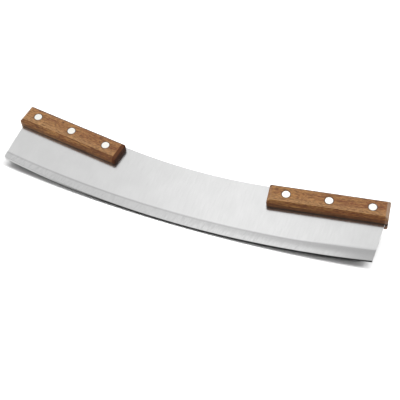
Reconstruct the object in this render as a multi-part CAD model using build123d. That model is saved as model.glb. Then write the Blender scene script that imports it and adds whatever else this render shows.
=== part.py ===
from build123d import *
import os
from math import atan2, cos, degrees, radians, sin, sqrt, tan

# Rocking pizza knife: a wide steel blade with a wooden handle riveted to each end. Lengths are in mm.
# Every piece is made in the blade's own frame: X runs along the blade, Y from the middle of the cutting
# edge to the spine, and Z out of the front face, with zero in the middle of the blade's thickness.
# The finished knife is then laid down as it rests on a table, on its back scales and its cutting edge.

# Blade
blade_length = 363.0
blade_height = 61.7
blade_thickness = 2.0
cutting_edge_radius = 908.0
spine_radius = 541.0
spine_slope = 7.5
blade_edge_break = 0.2
left_corner_radius = 4.0
right_corner_radius = 1.0
tang_corner_radius = 4.0

# Wide ground bevel: its upper border is an arc that sits a little to the left of the blade's middle,
# so the bevel is narrower at the left end than at the right
bevel_width = 10.8
bevel_radius = 1008.0
bevel_offset = 8.8
bevel_foot_thickness = 1.4

# Narrow cutting bevel along the edge, and the blunt land that it leaves
cutting_bevel_width = 0.9
cutting_land = 0.4

# Handles: two wooden scales each, whose outer end stands past the blade's end
scale_overhang = 1.7
handle_tilt = 8.25
scale_length = 110.0
scale_width = 21.5
scale_thickness = 8.4
scale_setback = 0.1
scale_corner_radius = 2.0
scale_chamfer_width = 3.1
scale_chamfer_depth = 3.0
scale_edge_rounding = 0.5

# Rivets: a male half from the front, pressed into a female half from the back. The margins run from the
# scale's ends to the outer and inner rivets' centres, and the middle rivet is halfway between these
rivet_inner_margin = 16.5
rivet_outer_margin = 15.4
rivet_rise = 0.35
rivet_head_diameter = 7.5
rivet_head_thickness = 1.6
rivet_head_rounding = 0.2
rivet_tube_diameter = 4.8
rivet_pin_diameter = 3.2
rivet_end_gap = 0.5

# Clearances, and the overrun of the cuts
head_clearance = 0.1
tube_clearance = 0.1
pin_clearance = 0.02
cut_overrun = 5.0

# Derived places
half_length = blade_length / 2
half_thickness = blade_thickness / 2
slope = radians(spine_slope)
tilt = radians(handle_tilt)
outer_face = half_thickness + scale_thickness
head_floor = outer_face - rivet_head_thickness
chamfer_slope = degrees(atan2(scale_chamfer_width, scale_chamfer_depth))
inner_along = rivet_inner_margin - scale_length / 2
outer_along = scale_length / 2 - rivet_outer_margin
rivet_alongs = (inner_along, (inner_along + outer_along) / 2, outer_along)
sides = {"left": -1, "right": 1}


def cutting_edge_y(x):
    """Height of the cutting edge above its lowest point."""
    return cutting_edge_radius - sqrt(cutting_edge_radius**2 - x**2)


def straight_spine_y(x):
    """Height of the straight run of the spine, which leaves the hollow at the spine's slope."""
    hollow_end_x = spine_radius * sin(slope)
    hollow_end_y = blade_height + spine_radius * (1 - cos(slope))
    return hollow_end_y + (x - hollow_end_x) * tan(slope)


# A handle's middle: the scale's upper outer corner lies one setback below the straight run of the spine
handle_x = half_length + scale_overhang - scale_length / 2
corner_x = handle_x + scale_length / 2 * cos(tilt) - scale_width / 2 * sin(tilt)
corner_rise = scale_length / 2 * sin(tilt) + scale_width / 2 * cos(tilt)
handle_y = straight_spine_y(corner_x) - scale_setback - corner_rise


def handle_location(side, along=0, across=0):
    """A place on a handle: along it towards the blade's end, across it towards the spine."""
    middle = Location((sides[side] * handle_x, handle_y, 0), (0, 0, sides[side] * handle_tilt))
    return middle * Pos(sides[side] * along, across, 0)


def blade_outline():
    hollow_end = spine_radius * sin(slope)
    hollow_y = straight_spine_y(hollow_end)
    end_low = cutting_edge_y(half_length)
    end_high = straight_spine_y(half_length)
    with BuildSketch() as outline:
        with BuildLine():
            ThreePointArc((-half_length, end_low), (0, 0), (half_length, end_low))
            Line((half_length, end_low), (half_length, end_high))
            Line((half_length, end_high), (hollow_end, hollow_y))
            ThreePointArc((hollow_end, hollow_y), (0, blade_height), (-hollow_end, hollow_y))
            Line((-hollow_end, hollow_y), (-half_length, end_high))
            Line((-half_length, end_high), (-half_length, end_low))
        make_face()
        left_corners = outline.vertices().group_by(Axis.X)[0].sort_by(Axis.Y)
        right_corners = outline.vertices().group_by(Axis.X)[-1].sort_by(Axis.Y)
        fillet(left_corners[0], left_corner_radius)
        fillet(right_corners[0], right_corner_radius)
        fillet([left_corners[-1], right_corners[-1]], tang_corner_radius)
    return outline.sketch


def ring_cutter(center, inner_radius, inner_half, outer_radius, outer_half):
    """A ring round an upright axis, above a cone that falls from the inner radius to the outer one."""
    overrun_fall = cut_overrun * (inner_half - outer_half) / (outer_radius - inner_radius)
    start_radius = inner_radius - cut_overrun
    start_half = inner_half + overrun_fall
    overrun_radius = outer_radius + cut_overrun
    overrun_half = outer_half - overrun_fall
    top = half_thickness + cut_overrun
    section = Polyline(
        (start_radius, 0, start_half),
        (overrun_radius, 0, overrun_half),
        (overrun_radius, 0, top),
        (start_radius, 0, top),
        close=True,
    )
    return Pos(*center) * revolve(make_face(section), Axis.Z)


def make_blade():
    blade = extrude(blade_outline(), half_thickness, both=True)
    blade = chamfer(blade.faces().filter_by(Axis.Z).edges(), blade_edge_break)
    bevel = ring_cutter(
        (-bevel_offset, bevel_width + bevel_radius, 0),
        bevel_radius,
        half_thickness,
        bevel_radius + bevel_width,
        bevel_foot_thickness / 2,
    )
    cutting_bevel = ring_cutter(
        (0, cutting_edge_radius, 0),
        cutting_edge_radius - cutting_bevel_width,
        bevel_foot_thickness / 2,
        cutting_edge_radius,
        cutting_land / 2,
    )
    for cutter in (bevel, cutting_bevel):
        blade -= cutter
        blade -= cutter.mirror(Plane.XY)
    hole = Cylinder(rivet_tube_diameter / 2 + tube_clearance, blade_thickness + cut_overrun)
    for side in sides:
        for place in rivet_places(side):
            blade -= place * hole
    return blade


def rivet_places(side):
    return [handle_location(side, along, rivet_rise) for along in rivet_alongs]


def rivet_names(side):
    return [f"rivet_{side}_{position}" for position in ("inner", "middle", "outer")]


def make_scale():
    """One front scale about its own middle, standing on the blade's face, without its holes."""
    wall_height = scale_thickness - scale_chamfer_depth
    base = Plane.XY.offset(half_thickness)
    shoulder = Plane.XY.offset(half_thickness + wall_height)
    plan = Rectangle(scale_length, scale_width)
    rounded_plan = RectangleRounded(scale_length, scale_width, scale_corner_radius)
    hip = extrude(shoulder * plan, scale_chamfer_depth, taper=chamfer_slope)
    scale = (extrude(base * plan, wall_height) + hip) & extrude(base * rounded_plan, scale_thickness)
    worn_edges = scale.edges().filter_by_position(Axis.Z, half_thickness, outer_face, (False, True))
    return fillet(worn_edges, scale_edge_rounding)


def bore_scale(scale, side):
    """Cuts a rivet's tube hole and the seat of its head, three times along the scale."""
    tube_hole = Cylinder(
        rivet_tube_diameter / 2 + tube_clearance,
        scale_thickness + cut_overrun,
        align=(Align.CENTER, Align.CENTER, Align.MIN),
    )
    head_seat = Cylinder(
        rivet_head_diameter / 2 + head_clearance,
        rivet_head_thickness + cut_overrun,
        align=(Align.CENTER, Align.CENTER, Align.MIN),
    )
    for along in rivet_alongs:
        scale -= Pos(sides[side] * along, rivet_rise, 0) * tube_hole
        scale -= Pos(sides[side] * along, rivet_rise, head_floor) * head_seat
    return scale


def rivet_head(shank_diameter, shank_length):
    """A rivet half that points down from its head, whose top is level with the scale's outer face."""
    head = Cylinder(
        rivet_head_diameter / 2,
        rivet_head_thickness,
        align=(Align.CENTER, Align.CENTER, Align.MIN),
    )
    head = fillet(head.edges().sort_by(Axis.Z)[-1], rivet_head_rounding)
    shank = Cylinder(
        shank_diameter / 2,
        shank_length,
        align=(Align.CENTER, Align.CENTER, Align.MAX),
    )
    return Pos(0, 0, head_floor) * (head + shank)


def make_male_half():
    return rivet_head(rivet_pin_diameter, 2 * head_floor - rivet_end_gap)


def make_female_half():
    """A head with a bored tube, made for the front and turned over to the back."""
    tube_length = 2 * head_floor - rivet_end_gap
    bore = Cylinder(
        rivet_pin_diameter / 2 + pin_clearance,
        tube_length + cut_overrun,
        align=(Align.CENTER, Align.CENTER, Align.MAX),
    )
    half = rivet_head(rivet_tube_diameter, tube_length) - Pos(0, 0, head_floor) * bore
    return half.mirror(Plane.XY)


def resting_tilt():
    """Turn about X that lays the cutting edge and the inner corners of the back scales on the table."""
    chamfer_fall = atan2(scale_chamfer_depth, scale_chamfer_width)
    face_inset = scale_chamfer_width + scale_edge_rounding * tan(chamfer_fall / 2)
    corner_along = scale_length / 2 - face_inset
    corner_across = scale_width / 2 - face_inset
    corner_y = handle_y - corner_along * sin(tilt) - corner_across * cos(tilt)
    land_tilt = atan2(outer_face - cutting_land / 2, corner_y)
    shoulder_tilt = atan2(outer_face - bevel_foot_thickness / 2, corner_y - cutting_bevel_width)
    return degrees(min(land_tilt, shoulder_tilt))


def make_pieces():
    pieces = {"blade": make_blade()}
    scale = make_scale()
    male_half = make_male_half()
    female_half = make_female_half()
    for side in sides:
        front = handle_location(side) * bore_scale(scale, side)
        pieces[f"scale_{side}_front"] = front
        pieces[f"scale_{side}_back"] = front.mirror(Plane.XY)
        for name, place in zip(rivet_names(side), rivet_places(side)):
            pieces[f"{name}_male"] = place * male_half
            pieces[f"{name}_female"] = place * female_half
    return pieces


def lay_down(pieces):
    """Turns the knife onto the table, and puts the origin under the middle of its bounding box."""
    turned = {name: Rot(resting_tilt(), 0, 0) * piece for name, piece in pieces.items()}
    box = Compound(list(turned.values())).bounding_box()
    middle = box.center()
    drop = Pos(-middle.X, -middle.Y, -box.min.Z)
    return {name: drop * piece for name, piece in turned.items()}


os.makedirs("parts", exist_ok=True)
for name, piece in lay_down(make_pieces()).items():
    piece.label = name
    export_step(piece, f"parts/{name}.step")
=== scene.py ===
import math
from itertools import product

import bpy
from mathutils import Color, Matrix, Vector


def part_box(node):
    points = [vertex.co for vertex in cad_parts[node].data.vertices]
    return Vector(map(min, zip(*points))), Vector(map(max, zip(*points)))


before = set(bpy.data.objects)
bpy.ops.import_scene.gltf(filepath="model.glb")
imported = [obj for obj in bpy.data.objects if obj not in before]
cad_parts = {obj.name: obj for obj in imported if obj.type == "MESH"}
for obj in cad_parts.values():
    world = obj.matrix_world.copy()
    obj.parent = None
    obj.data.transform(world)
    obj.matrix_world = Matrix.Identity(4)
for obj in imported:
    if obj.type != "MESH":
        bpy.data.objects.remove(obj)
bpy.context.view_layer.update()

# The scene is in metres, as the frame is. The sizes of the part, and all places and lengths in its
# materials, are in millimetres
MM = 0.001
SIDES = {"left": -1, "right": 1}
FACES = ("front", "back")
RIVETS = ("inner", "middle", "outer")

# A place that is multiplied by FLAT loses its Z
FLAT = (1, 1, 0)
WHITE = (1, 1, 1, 1)
SCREEN_WHITE = 255

# Sizes of the part that its materials follow, named as in its source
SCALE_LENGTH = 110.0
SCALE_WIDTH = 21.5
SCALE_CHAMFER_WIDTH = 3.1
RIVET_HEAD_DIAMETER = 7.5
BEVEL_WIDTH = 10.8
BEVEL_RADIUS = 1008.0
BEVEL_OFFSET = 8.8
CUTTING_EDGE_RADIUS = 908.0
CUTTING_BEVEL_WIDTH = 0.9

# Half the length and half the width of a scale's outer face, inside its chamfer
FACE_END = SCALE_LENGTH / 2 - SCALE_CHAMFER_WIDTH
FACE_EDGE = SCALE_WIDTH / 2 - SCALE_CHAMFER_WIDTH


def find_blade_frame():
    """X along the blade, Y from the middle of its cutting edge to the spine, Z out of its front face.

    The blade's largest facet lies in its flat front or back face, so it gives the blade's tilt.
    """
    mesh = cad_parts["blade"].data
    normal = max(mesh.polygons, key=lambda polygon: polygon.area).normal
    turn = Matrix.Rotation(math.atan(-normal.y / normal.z), 4, "X")
    places = [turn.inverted() @ vertex.co for vertex in mesh.vertices]
    cutting_edge = min(place.y for place in places)
    heights = [place.z for place in places]
    middle = (min(heights) + max(heights)) / 2
    return turn @ Matrix.Translation((0, cutting_edge, middle))


def middle_of(front, back):
    """The middle of the box round a piece in front and the piece behind it."""
    front_low, front_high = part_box(front)
    back_low, back_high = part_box(back)
    low = Vector(map(min, front_low, back_low))
    high = Vector(map(max, front_high, back_high))
    return (low + high) / 2


def rivet_middle(side, position):
    return middle_of(f"rivet_{side}_{position}_male", f"rivet_{side}_{position}_female")


def handle_frame(side):
    """Origin in a handle's middle, X along its rivets to the right, Y to the spine, Z to the front."""
    to_blade = blade_frame.inverted()
    middle = to_blade @ middle_of(f"scale_{side}_front", f"scale_{side}_back")
    inner = to_blade @ rivet_middle(side, "inner")
    outer = to_blade @ rivet_middle(side, "outer")
    run = (outer - inner) * SIDES[side]
    turn = Matrix.Rotation(math.atan2(run.y, run.x), 4, "Z")
    return blade_frame @ Matrix.Translation(middle) @ turn


blade_frame = find_blade_frame()


class Graph:
    """Adds nodes to a node tree. An input is given a value, or the socket that it is linked to."""

    def __init__(self, tree):
        self.tree = tree
        tree.nodes.clear()

    def node(self, kind, settings=None, inputs=None):
        made = self.tree.nodes.new("ShaderNode" + kind)
        for name, value in (settings or {}).items():
            setattr(made, name, value)
        for name, value in (inputs or {}).items():
            socket = made.inputs[name]
            if isinstance(value, bpy.types.NodeSocket):
                self.tree.links.new(value, socket)
            else:
                socket.default_value = value
        return made

    def calculate(self, operation, first, second=0.0, third=0.0):
        return self.node("Math", {"operation": operation}, {0: first, 1: second, 2: third}).outputs[0]

    def times(self, first, second):
        return self.calculate("MULTIPLY", first, second)

    def vector(self, operation, first, second):
        made = self.node("VectorMath", {"operation": operation}, {0: first, 1: second})
        return made.outputs["Value" if operation in ("DISTANCE", "DOT_PRODUCT") else "Vector"]

    def axes(self, vector):
        return self.node("SeparateXYZ", {}, {0: vector}).outputs

    def noise(self, place, stretch, detail, roughness):
        """Noise from 0 to 1 whose features have the size of stretch, a length per axis."""
        scaled = self.vector("DIVIDE", place, stretch)
        inputs = {"Vector": scaled, "Scale": 1.0, "Detail": detail, "Roughness": roughness}
        return self.node("TexNoise", {}, inputs).outputs["Fac"]

    def step(self, value, low, high, to_low=0.0, to_high=1.0):
        """A smooth step: to_low where value is at low, to_high where it is at high."""
        inputs = {"Value": value, "From Min": low, "From Max": high, "To Min": to_low, "To Max": to_high}
        return self.node("MapRange", {"interpolation_type": "SMOOTHSTEP"}, inputs).outputs["Result"]

    def mix(self, share, first, second):
        """Mixes colours. On a Mix node these are inputs 6 and 7 and output 2."""
        return self.node("Mix", {"data_type": "RGBA"}, {0: share, 6: first, 7: second}).outputs[2]

    def blend(self, share, first, second):
        """Mixes numbers. On a Mix node these are inputs 2 and 3 and output 0."""
        return self.node("Mix", {"data_type": "FLOAT"}, {0: share, 2: first, 3: second}).outputs[0]

    def bump(self, height, strength, depth):
        inputs = {"Strength": strength, "Distance": depth * MM, "Height": height}
        return self.node("Bump", {}, inputs).outputs["Normal"]

    def place_in(self, matrix):
        """The place in a frame of the scene, in millimetres. A CAD node's object sits at the origin."""
        coordinates = self.node("TexCoord").outputs["Object"]
        place, turn, _ = matrix.decompose()
        scale = (MM, MM, MM)
        inputs = {"Vector": coordinates, "Location": place, "Rotation": turn.to_euler(), "Scale": scale}
        return self.node("Mapping", {"vector_type": "TEXTURE"}, inputs).outputs["Vector"]

    def finish(self, shader, output="OutputMaterial"):
        self.tree.links.new(shader.outputs[0], self.node(output).inputs["Surface"])


def srgb(red, green, blue):
    """A colour that is given as it shows on a screen, 0 to 255, as the linear colour of a shader."""
    shown = Color((red, green, blue)) / SCREEN_WHITE
    return (*shown.from_srgb_to_scene_linear(), 1.0)


def srgb_grey(level):
    return srgb(level, level, level)


def linear_grey(level):
    return (level, level, level, 1.0)


def new_material(name):
    material = bpy.data.materials.new(name)
    material.use_nodes = True
    return material, Graph(material.node_tree)


# Handle wood: a fine-grained brown hardwood, oiled, with the grain along the handle
WOOD_LIGHT = srgb(196, 142, 84)
WOOD_MIDDLE = srgb(168, 112, 62)
WOOD_RED = srgb(142, 80, 46)
# Painted sheen on the near half of each scale's outer face
WOOD_PAINTED_SHEEN = srgb(216, 168, 113)
WOOD_DARK = srgb(96, 56, 32)
WOOD_PORE = srgb(62, 40, 26)
# Painted shade along the joint with the blade and round the rivet heads
WOOD_JOINT_SHADE = srgb(62, 42, 30)
# Painted shade on the near side of each scale
WOOD_NEAR_SHADE = srgb(92, 52, 24)
# Painted shade on the far side of each scale
WOOD_FAR_SHADE = srgb(70, 46, 28)
# The inner end: end grain darkened with painted shade, and its wall darker still with painted shade
WOOD_INNER_END_GRAIN_AND_SHADE = srgb(92, 48, 26)
WOOD_INNER_WALL_GRAIN_AND_SHADE = srgb(40, 17, 7)
# The outer ends: a painted sheen on the front scale and a painted shade on the back scale
WOOD_OUTER_END_SHEEN_AND_SHADE = {"front": srgb(162, 138, 117), "back": srgb(96, 60, 42)}

# Noises in the wood: the length of their features along, across and into the handle, their detail and
# their roughness
WOOD_NOISES = {
    "tone": ((30, 4.5, 4.5), 3.0, 0.55),
    "patch": ((13, 2.4, 2.4), 4.0, 0.6),
    "streak": ((26, 0.8, 0.8), 4.0, 0.6),
    "fibre": ((5, 0.2, 0.2), 3.0, 0.6),
    "fleck": ((3.4, 0.8, 0.8), 2.0, 0.5),
    "vessel": ((5, 0.6, 0.6), 3.0, 0.5),
    "pore": ((3.0, 0.4, 0.4), 2.0, 0.45),
    "band": ((45, 1.6, 1.6), 2.0, 0.5),
}

# The noise that bends the grain, how far it bends it, and how far apart in the wood two scales are cut
WARP_NOISE = ((45, 9, 9), 2.0, 0.5)
WARP_REACH = (0, 3.0, 3.0)
FIGURE_SHIFT = Vector((29.0, 7.0, 31.0))

# The tone, which is darker towards the right end of each handle as painted shade, and the red patches,
# with the levels of noise at which each starts and is full
TONE_LEVELS = (0.36, 0.64)
TONE_SHADE_TO_RIGHT = 0.10
RED_LEVELS = (0.42, 0.66)
RED_SHARES = {"left": 0.5, "right": 0.75}

# A painted sheen, a paler strip on the near half of the outer face: where it starts and is full across the
# face
PAINTED_SHEEN_STRIP = (1.0, -6.5)
PAINTED_SHEEN_BORDER = 0.2
PAINTED_SHEEN_SHARE = 0.58

# Layers of the figure, in the order in which they lie on each other: the noise, its levels at which the
# layer starts and is full, the layer's share and its colour
PORE_LEVELS = (0.56, 0.68)
FIGURE_LAYERS = (
    ("streak", 0.50, 0.72, 0.80, WOOD_DARK),
    ("fibre", 0.42, 0.75, 0.35, WOOD_DARK),
    ("fleck", 0.50, 0.64, 0.50, WOOD_DARK),
    ("fleck", 0.48, 0.36, 0.50, WOOD_LIGHT),
    ("vessel", 0.57, 0.66, 0.62, WOOD_DARK),
    ("pore", *PORE_LEVELS, 0.75, WOOD_PORE),
)

# Painted shade on the near side, darker on its wall than on its chamfer and streaked with dark bands, and
# on the far side. The ridge between the wall and the chamfer is given by its distance from the middle of
# the blade
NEAR_SIDE_BORDER = 0.4
NEAR_RIDGE = (5.8, 6.8)
NEAR_WALL_SHARES = {"left": 0.25, "right": 0.66}
NEAR_CHAMFER_SHARES = {"left": 0.08, "right": 0.37}
BAND_LEVELS = (0.50, 0.62)
BAND_SHARE = 0.45
FAR_SIDE_BORDER = 0.5
FAR_SHADE_SHARE = 0.85

# End grain, with painted light on it: where it starts and is full beyond the outer face, how ragged its
# border is, and how strong it is. On the outer end it is a painted sheen on the front scale and a painted
# shade on the back scale, weaker at the near corner. The inner end is end grain darkened with painted
# shade, far more on the left handle, and the wall of the inner end is darker still with painted shade,
# between two distances from that end
END_BORDER = (-0.3, 0.4)
END_RAGGEDNESS = 0.8
OUTER_END_SHARE = 0.75
OUTER_CORNER = (-9.6, -7.4)
OUTER_CORNER_SHARE = 0.3
INNER_END_SHARES = {"left": 0.85, "right": 0.15}
INNER_WALL = (0.8, 0.2)
INNER_WALL_SHARE = 0.9

# Painted shade along the joint with the blade and round the rivets. It is full at the first distance from
# the middle of the blade or from a rivet's head, and ends at the second
JOINT_REACH = (1.3, 3.1)
JOINT_SHARES = {"left": 0.75, "right": 0.95}
RING_REACH = (0.2, 1.2)
RING_SHARE = 0.8

# The wood's surface: raised streaks and fibres, sunk pores, and rougher inner ends and far side
GRAIN_SHARE = 0.35
PORE_DEPTH_SHARE = 0.5
WOOD_BUMP_SHARE = 0.45
WOOD_BUMP_DEPTH = 0.12
STREAK_LEVELS = (0.3, 0.8)
WOOD_ROUGHNESS = (0.46, 0.62)
INNER_END_ROUGHNESS = 0.85
FAR_SIDE_ROUGHNESS = 0.95
WOOD_SPECULAR = 0.3


def wood_noises(graph, place, shift):
    """The noises of the wood by name. The grain is bent a little, and the shift moves all of it."""
    figure = graph.vector("ADD", place, shift)
    warp = graph.vector("MULTIPLY", graph.noise(figure, *WARP_NOISE), WARP_REACH)
    bent = graph.vector("ADD", figure, warp)
    return {name: graph.noise(bent, *noise) for name, noise in WOOD_NOISES.items()}


def wood_figure_shade_and_sheen(graph, noises, along, across, side):
    """The colour of the wood: its tone with painted shade towards the right end, red patches, a strip of
    painted sheen, and the figure.
    """
    # Painted shade: the tone darkens towards the right end of each handle
    shade_to_right = graph.step(along, -SCALE_LENGTH / 2, SCALE_LENGTH / 2, -TONE_SHADE_TO_RIGHT, TONE_SHADE_TO_RIGHT)
    tone = graph.calculate("ADD", noises["tone"], shade_to_right)
    color = graph.mix(graph.step(tone, *TONE_LEVELS), WOOD_LIGHT, WOOD_MIDDLE)
    red = graph.step(noises["patch"], *RED_LEVELS, 0.0, RED_SHARES[side])
    color = graph.mix(red, color, WOOD_RED)
    # A painted sheen on the near half of the outer face
    on_face = graph.step(across, -FACE_EDGE - PAINTED_SHEEN_BORDER, -FACE_EDGE)
    painted_sheen = graph.step(across, *PAINTED_SHEEN_STRIP, 0.0, PAINTED_SHEEN_SHARE)
    color = graph.mix(graph.times(on_face, painted_sheen), color, WOOD_PAINTED_SHEEN)
    for noise, start, full, share, layer_color in FIGURE_LAYERS:
        layer = graph.step(noises[noise], start, full, 0.0, share)
        color = graph.mix(layer, color, layer_color)
    return color


def end_grain_sheen_and_shade(graph, outwards, across, fibre, side):
    """How strong the end grain, with its painted sheen and shade, is on the outer end, on the inner end
    and on the inner end's wall.
    """
    start, full = (FACE_END + border for border in END_BORDER)
    raggedness = graph.calculate("MULTIPLY_ADD", fibre, END_RAGGEDNESS, -END_RAGGEDNESS / 2)
    ragged = graph.calculate("ADD", outwards, raggedness)
    corner = graph.step(across, *OUTER_CORNER, OUTER_CORNER_SHARE, 1.0)
    outer_end = graph.times(graph.step(ragged, start, full, 0.0, OUTER_END_SHARE), corner)
    # End grain and painted shade on the inner end, far stronger on the left handle
    inner_end = graph.step(ragged, -start, -full, 0.0, INNER_END_SHARES[side])
    wall_start, wall_full = (reach - SCALE_LENGTH / 2 for reach in INNER_WALL)
    wall_share = INNER_WALL_SHARE * INNER_END_SHARES[side]
    inner_wall = graph.step(outwards, wall_start, wall_full, 0.0, wall_share)
    return outer_end, inner_end, inner_wall


def rivet_rings(graph, place, side):
    """How strong the painted shade is in the rings round the rivets."""
    flat = graph.vector("MULTIPLY", place, FLAT)
    to_handle = handle_frame(side).inverted()
    start, end = (RIVET_HEAD_DIAMETER / 2 + reach for reach in RING_REACH)
    rings = 0.0
    for position in RIVETS:
        centre = to_handle @ rivet_middle(side, position) / MM
        distance = graph.vector("DISTANCE", flat, centre)
        rings = graph.calculate("MAXIMUM", rings, graph.step(distance, start, end, RING_SHARE, 0.0))
    return rings


def near_shade_shares(graph, band_noise, across, depth, side):
    """How strong the painted shade on the near side is, on its wall, on its chamfer and in its dark bands.
    """
    near_shade = graph.step(across, -FACE_EDGE, -FACE_EDGE - NEAR_SIDE_BORDER)
    darkness = graph.step(depth, *NEAR_RIDGE, NEAR_WALL_SHARES[side], NEAR_CHAMFER_SHARES[side])
    band = graph.step(band_noise, *BAND_LEVELS, 0.0, BAND_SHARE)
    return graph.times(near_shade, darkness), graph.times(near_shade, band)


def wood_relief(graph, noises):
    """Raised streaks and fibres, and sunk pores."""
    grain = graph.times(graph.calculate("ADD", noises["streak"], noises["fibre"]), GRAIN_SHARE)
    pores = graph.step(noises["pore"], *PORE_LEVELS, 0.0, PORE_DEPTH_SHARE)
    return graph.bump(graph.calculate("SUBTRACT", grain, pores), WOOD_BUMP_SHARE, WOOD_BUMP_DEPTH)


def handle_wood(side, face, shift):
    """Wood of one scale. The shift moves the figure, so that no two scales are cut alike."""
    material, graph = new_material(f"wood_{side}_{face}")
    place = graph.place_in(handle_frame(side))
    noises = wood_noises(graph, place, shift)
    along, across, height = graph.axes(place)
    outwards = graph.times(along, SIDES[side])
    depth = graph.calculate("ABSOLUTE", height)

    near_shade, near_shade_bands = near_shade_shares(graph, noises["band"], across, depth, side)
    # Painted shade on the far side, which is also rougher
    far_shade = graph.step(across, FACE_EDGE, FACE_EDGE + FAR_SIDE_BORDER, 0.0, FAR_SHADE_SHARE)
    outer_end, inner_end, inner_wall = end_grain_sheen_and_shade(graph, outwards, across, noises["fibre"], side)
    # Painted shade along the joint with the blade
    joint = graph.step(depth, *JOINT_REACH, JOINT_SHARES[side], 0.0)
    # Painted shade and sheen over the figure: on the sides, on the ends, along the joint and round the
    # rivets
    shades = (
        (near_shade, WOOD_NEAR_SHADE),
        (near_shade_bands, WOOD_DARK),
        (far_shade, WOOD_FAR_SHADE),
        (outer_end, WOOD_OUTER_END_SHEEN_AND_SHADE[face]),
        (inner_end, WOOD_INNER_END_GRAIN_AND_SHADE),
        (inner_wall, WOOD_INNER_WALL_GRAIN_AND_SHADE),
        (joint, WOOD_JOINT_SHADE),
        (rivet_rings(graph, place, side), WOOD_JOINT_SHADE),
    )
    color = wood_figure_shade_and_sheen(graph, noises, along, across, side)
    for share, shade in shades:
        color = graph.mix(share, color, shade)

    roughness = graph.step(noises["streak"], *STREAK_LEVELS, *WOOD_ROUGHNESS)
    roughness = graph.blend(inner_end, roughness, INNER_END_ROUGHNESS)
    roughness = graph.blend(far_shade, roughness, FAR_SIDE_ROUGHNESS)
    inputs = {
        "Base Color": color,
        "Roughness": roughness,
        "Normal": wood_relief(graph, noises),
        "Specular IOR Level": WOOD_SPECULAR,
    }
    graph.finish(graph.node("BsdfPrincipled", {}, inputs))
    return material


# Blade steel: a satin face and a ground bevel. The bevel's dark border line and its darkening to the right
# are painted shade, its paler foot is a painted reflection, and the cutting bevel's darkness and its pale
# left end are painted reflections
STEEL_FACE = srgb_grey(199)
STEEL_CLOUD = srgb_grey(196)
STEEL_BEVEL = srgb_grey(190)
# Painted shade on the bevel towards the right end
STEEL_BEVEL_SHADE_RIGHT = srgb_grey(154)
# A painted reflection: the lower part of the bevel is paler
STEEL_BEVEL_FOOT_REFLECTION = srgb_grey(196)
# Painted shade along the border line of the bevel
STEEL_BORDER_SHADE = srgb_grey(150)
STEEL_MARK = srgb_grey(158)
# Painted reflections on the cutting bevel: dark along it, pale at its left end
STEEL_CUTTING_DARK_REFLECTION = srgb_grey(72)
STEEL_CUTTING_PALE_REFLECTION = srgb_grey(215)

# Noises in the steel, as those in the wood, and the levels of noise at which what they change starts and
# is full. The grinding marks run askew across the blade
CLOUD_NOISE = ((20, 20, 20), 2.0, 0.4)
SATIN_NOISE = ((0.5, 14, 4), 3.0, 0.6)
GROUND_NOISE = ((0.6, 7, 4), 4.0, 0.7)
GROUND_TURN = math.radians(14)
CLOUD_LEVELS = (0.3, 0.7)
MARK_LEVELS = (0.35, 0.75)
ROUGHNESS_LEVELS = (0.3, 0.7)

# Centres of the arcs of the bevel's border and of the cutting edge, and the distances from these of the
# bevel, its border line, its foot and the cutting bevel
BEVEL_CENTRE = (-BEVEL_OFFSET, BEVEL_WIDTH + BEVEL_RADIUS, 0)
BEVEL_START = (BEVEL_RADIUS - 1.0, BEVEL_RADIUS + 0.3)
BORDER_MIDDLE = BEVEL_RADIUS + 0.2
BORDER_CORE = 0.1
CUTTING_CENTRE = (0, CUTTING_EDGE_RADIUS, 0)
CUTTING_START = CUTTING_EDGE_RADIUS - CUTTING_BEVEL_WIDTH
CUTTING_BORDER = 0.05
FOOT_START = (CUTTING_START - 8.5, CUTTING_START - 2.0)

# What changes along the blade, from left to right: the places where the change starts and ends, and the
# values there. The last two only say where one colour turns into another
BEVEL_RISE = (105.0, 150.0, 0.0, 1.1)
BORDER_WIDTH = (120.0, 165.0, 1.8, 3.2)
BORDER_SHARE = (-160.0, -100.0, 0.30, 0.45)
FOOT_SHARE = (-70.0, 50.0, 0.0, 0.75)
FOOT_RIGHT_SHARE = (140.0, 175.0, 1.0, 0.3)
BEVEL_MARK_SHARE = (0.0, 110.0, 0.60, 0.40)
# Painted shade: where the bevel darkens towards the right end
BEVEL_DARKENING = (-80.0, 170.0)
# Painted reflection: where the cutting bevel turns from pale to dark
CUTTING_DARKENING = (-150.0, -60.0)

# The surface of the face and of the bevel
FACE_MARK_SHARE = 0.08
FACE_ROUGHNESS = (0.235, 0.255)
BEVEL_ROUGHNESS = (0.16, 0.24)
FACE_BUMP_SHARE = 0.03
BEVEL_BUMP_SHARE = 0.20
STEEL_BUMP_DEPTH = 0.02


def bevel_shares(graph, flat, along):
    """How far a place is on the bevel, on its border line, on its foot and on the cutting bevel."""
    reach = graph.vector("DISTANCE", flat, BEVEL_CENTRE)
    reach = graph.calculate("ADD", reach, graph.step(along, *BEVEL_RISE))
    bevel = graph.step(reach, *BEVEL_START)
    border_distance = graph.calculate("ABSOLUTE", graph.calculate("SUBTRACT", reach, BORDER_MIDDLE))
    border = graph.step(border_distance, BORDER_CORE, graph.step(along, *BORDER_WIDTH), 1.0, 0.0)
    border = graph.times(border, graph.step(along, *BORDER_SHARE))

    cutting_reach = graph.vector("DISTANCE", flat, CUTTING_CENTRE)
    foot = graph.times(graph.step(cutting_reach, *FOOT_START), graph.step(along, *FOOT_SHARE))
    foot = graph.times(foot, graph.step(along, *FOOT_RIGHT_SHARE))
    cutting = graph.step(cutting_reach, CUTTING_START - CUTTING_BORDER, CUTTING_START + CUTTING_BORDER)
    return bevel, border, foot, cutting


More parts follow.
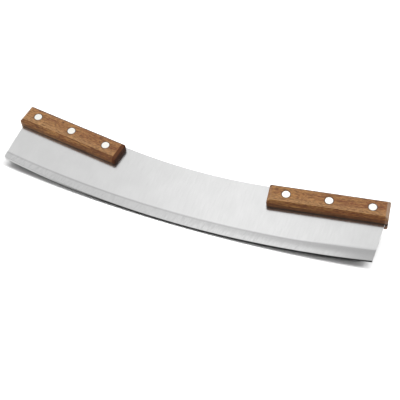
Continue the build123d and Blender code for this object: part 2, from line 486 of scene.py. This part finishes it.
def blade_steel():
    material, graph = new_material("steel_blade")
    place = graph.place_in(blade_frame)
    along = graph.axes(place)["X"]
    flat = graph.vector("MULTIPLY", place, FLAT)
    bevel, border, foot, cutting = bevel_shares(graph, flat, along)

    turn = {"Vector": place, "Angle": GROUND_TURN}
    askew = graph.node("VectorRotate", {"rotation_type": "Z_AXIS"}, turn).outputs["Vector"]
    marks = graph.blend(bevel, graph.noise(place, *SATIN_NOISE), graph.noise(askew, *GROUND_NOISE))
    mark_share = graph.blend(bevel, FACE_MARK_SHARE, graph.step(along, *BEVEL_MARK_SHARE))
    mark_share = graph.times(graph.step(marks, *MARK_LEVELS), mark_share)

    cloud = graph.step(graph.noise(place, *CLOUD_NOISE), *CLOUD_LEVELS)
    face_color = graph.mix(cloud, STEEL_FACE, STEEL_CLOUD)
    bevel_color = graph.mix(graph.step(along, *BEVEL_DARKENING), STEEL_BEVEL, STEEL_BEVEL_SHADE_RIGHT)
    bevel_color = graph.mix(foot, bevel_color, STEEL_BEVEL_FOOT_REFLECTION)
    cutting_color = graph.mix(graph.step(along, *CUTTING_DARKENING), STEEL_CUTTING_PALE_REFLECTION, STEEL_CUTTING_DARK_REFLECTION)
    color = graph.mix(bevel, face_color, bevel_color)
    color = graph.mix(border, color, STEEL_BORDER_SHADE)
    color = graph.mix(mark_share, color, STEEL_MARK)
    color = graph.mix(cutting, color, cutting_color)

    face_roughness = graph.step(marks, *ROUGHNESS_LEVELS, *FACE_ROUGHNESS)
    bevel_roughness = graph.step(marks, *ROUGHNESS_LEVELS, *BEVEL_ROUGHNESS)
    bump_share = graph.blend(bevel, FACE_BUMP_SHARE, BEVEL_BUMP_SHARE)
    inputs = {
        "Base Color": color,
        "Metallic": 1.0,
        "Roughness": graph.blend(bevel, face_roughness, bevel_roughness),
        "Normal": graph.bump(marks, bump_share, STEEL_BUMP_DEPTH),
    }
    graph.finish(graph.node("BsdfPrincipled", {}, inputs))
    return material


# Rivets: polished metal with fine scratches
RIVET_METAL = srgb(234, 232, 225)
SCRATCH_NOISE = ((0.2, 3.0, 3.0), 3.0, 0.6)
RIVET_ROUGHNESS = (0.14, 0.22)
RIVET_BUMP_SHARE = 0.1
RIVET_BUMP_DEPTH = 0.01


def rivet_metal():
    material, graph = new_material("metal_rivet")
    scratches = graph.noise(graph.place_in(Matrix()), *SCRATCH_NOISE)
    inputs = {
        "Base Color": RIVET_METAL,
        "Metallic": 1.0,
        "Roughness": graph.step(scratches, *ROUGHNESS_LEVELS, *RIVET_ROUGHNESS),
        "Normal": graph.bump(scratches, RIVET_BUMP_SHARE, RIVET_BUMP_DEPTH),
    }
    graph.finish(graph.node("BsdfPrincipled", {}, inputs))
    return material


def dress(node, material):
    """Gives a CAD node one material."""
    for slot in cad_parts[node].material_slots:
        slot.material = material


def dress_all():
    dress("blade", blade_steel())
    metal = rivet_metal()
    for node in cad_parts:
        if node.startswith("rivet"):
            dress(node, metal)
    for number, (side, face) in enumerate(product(SIDES, FACES)):
        dress(f"scale_{side}_{face}", handle_wood(side, face, number * FIGURE_SHIFT))


# The floor's own white, and the white that the camera and the metal see. Its size is in metres
FLOOR_WHITE = 0.20
FLOOR_WHITE_SEEN = 0.28
FLOOR_SIZE = 6.0


def make_floor():
    mesh = bpy.data.meshes.new("floor")
    half = FLOOR_SIZE / 2
    corners = [(-half, -half, 0), (half, -half, 0), (half, half, 0), (-half, half, 0)]
    mesh.from_pydata(corners, [], [(0, 1, 2, 3)])
    floor = bpy.data.objects.new("floor", mesh)
    bpy.context.scene.collection.objects.link(floor)
    material, graph = new_material("floor_white")
    rays = graph.node("LightPath").outputs
    seen = graph.calculate("MAXIMUM", rays["Is Camera Ray"], rays["Is Glossy Ray"])
    white = graph.mix(seen, linear_grey(FLOOR_WHITE), linear_grey(FLOOR_WHITE_SEEN))
    graph.finish(graph.node("BsdfDiffuse", {}, {"Color": white}))
    mesh.materials.append(material)
    return floor


# Studio: a soft ceiling behind and above, a small glow that the blade's face mirrors, a fill on the left,
# a low strip of light along the back, and a dim front. The first three are each a direction, its level,
# and the cosines of the angles at which the light starts and is full
CEILING = ((0.0, 0.60, 0.80), 1.07, -0.10, 0.75)
BLADE_GLOW = ((-0.215, 0.360, 0.908), 0.70, 0.9915, 0.9970)
LEFT_FILL = ((-0.90, -0.38, 0.22), 0.65, 0.65, 0.95)
DIM_LEVEL = 0.04

# The strip's level, the heights between which it rises and those between which it falls, and how far round
# the back it goes
STRIP_LEVEL = 2.5
STRIP_RISE = (0.04, 0.10)
STRIP_FALL = (0.34, 0.45)
STRIP_ROUND = (0.40, 0.80)

# A faint glow along the front horizon, the paler and higher one that the metal sees there, and how far
# round the front they go
FRONT_LEVEL = 0.28
FRONT_FALL = (0.16, 0.36)
FRONT_LEVEL_SEEN = 0.80
FRONT_FALL_SEEN = (0.40, 0.60)
FRONT_ROUND = (0.0, -0.4)


def strip_light(graph, back, up):
    height = graph.times(graph.step(up, *STRIP_RISE), graph.step(up, *STRIP_FALL, 1.0, 0.0))
    return graph.times(height, graph.step(back, *STRIP_ROUND, 0.0, STRIP_LEVEL))


def front_light(graph, back, up, glossy):
    lit = graph.step(up, *FRONT_FALL, FRONT_LEVEL, 0.0)
    seen = graph.step(up, *FRONT_FALL_SEEN, FRONT_LEVEL_SEEN, 0.0)
    return graph.times(graph.blend(glossy, lit, seen), graph.step(back, *FRONT_ROUND))


def make_world():
    """White to the camera. It lights the object from above and behind, and is dim in the front."""
    world = bpy.data.worlds.new("studio")
    bpy.context.scene.world = world
    world.use_nodes = True
    graph = Graph(world.node_tree)
    rays = graph.node("LightPath").outputs
    direction = graph.node("TexCoord").outputs["Generated"]
    _, back, up = graph.axes(direction)
    level = graph.calculate("ADD", DIM_LEVEL, strip_light(graph, back, up))
    level = graph.calculate("ADD", level, front_light(graph, back, up, rays["Is Glossy Ray"]))
    for towards, light, start, full in (CEILING, BLADE_GLOW, LEFT_FILL):
        nearness = graph.vector("DOT_PRODUCT", direction, Vector(towards).normalized())
        level = graph.calculate("ADD", level, graph.step(nearness, start, full, 0.0, light))
    studio = graph.node("Background", {}, {"Color": WHITE, "Strength": level})
    white = graph.node("Background", {}, {"Color": WHITE, "Strength": 1.0})
    shaders = {0: rays["Is Camera Ray"], 1: studio.outputs[0], 2: white.outputs[0]}
    graph.finish(graph.node("MixShader", {}, shaders), "OutputWorld")


# Low lamps in a row behind the knife, and a weak one before it, that light the floor alone: the blade
# throws a short soft shadow to the front. Each is a direction and how much it lights the floor
BACK_LAMPS = [((place, 0.70, 0.48), 2.25) for place in (-1.2, -0.8, -0.4, 0.0, 0.4, 0.8, 1.2)]
FRONT_LAMP = ((0.0, -0.50, 0.70), 0.65)
FLOOR_LAMP_ANGLE = math.radians(18)


def make_floor_lamps(floor):
    lit = bpy.data.collections.new("lit_by_floor_lamps")
    lit.objects.link(floor)
    shading = bpy.data.collections.new("shades_floor_lamps")
    shading.objects.link(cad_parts["blade"])
    for towards, level in (*BACK_LAMPS, FRONT_LAMP):
        direction = Vector(towards).normalized()
        light = bpy.data.lights.new("floor_lamp", "SUN")
        light.angle = FLOOR_LAMP_ANGLE
        light.energy = level / direction.z
        lamp = bpy.data.objects.new("floor_lamp", light)
        lamp.rotation_euler = direction.to_track_quat("Z", "Y").to_euler()
        bpy.context.scene.collection.objects.link(lamp)
        lamp.light_linking.receiver_collection = lit
        lamp.light_linking.blocker_collection = shading


# Camera, from a perspective fit to the photograph. The lens and the sensor are in millimetres
CAMERA_PLACE = Vector((0.26222, -0.62842, 0.66716))
CAMERA_TARGET = Vector((0.01499, -0.00705, 0.005))
CAMERA_LENS = 92.26
CAMERA_SENSOR = 36.0


def make_camera():
    data = bpy.data.cameras.new("camera")
    data.lens = CAMERA_LENS
    data.sensor_width = CAMERA_SENSOR
    camera = bpy.data.objects.new("camera", data)
    camera.location = CAMERA_PLACE
    camera.rotation_euler = (CAMERA_TARGET - CAMERA_PLACE).to_track_quat("-Z", "Y").to_euler()
    bpy.context.scene.collection.objects.link(camera)
    bpy.context.scene.camera = camera


dress_all()
make_floor_lamps(make_floor())
make_world()
make_camera()
bpy.context.scene.view_settings.view_transform = "Standard"
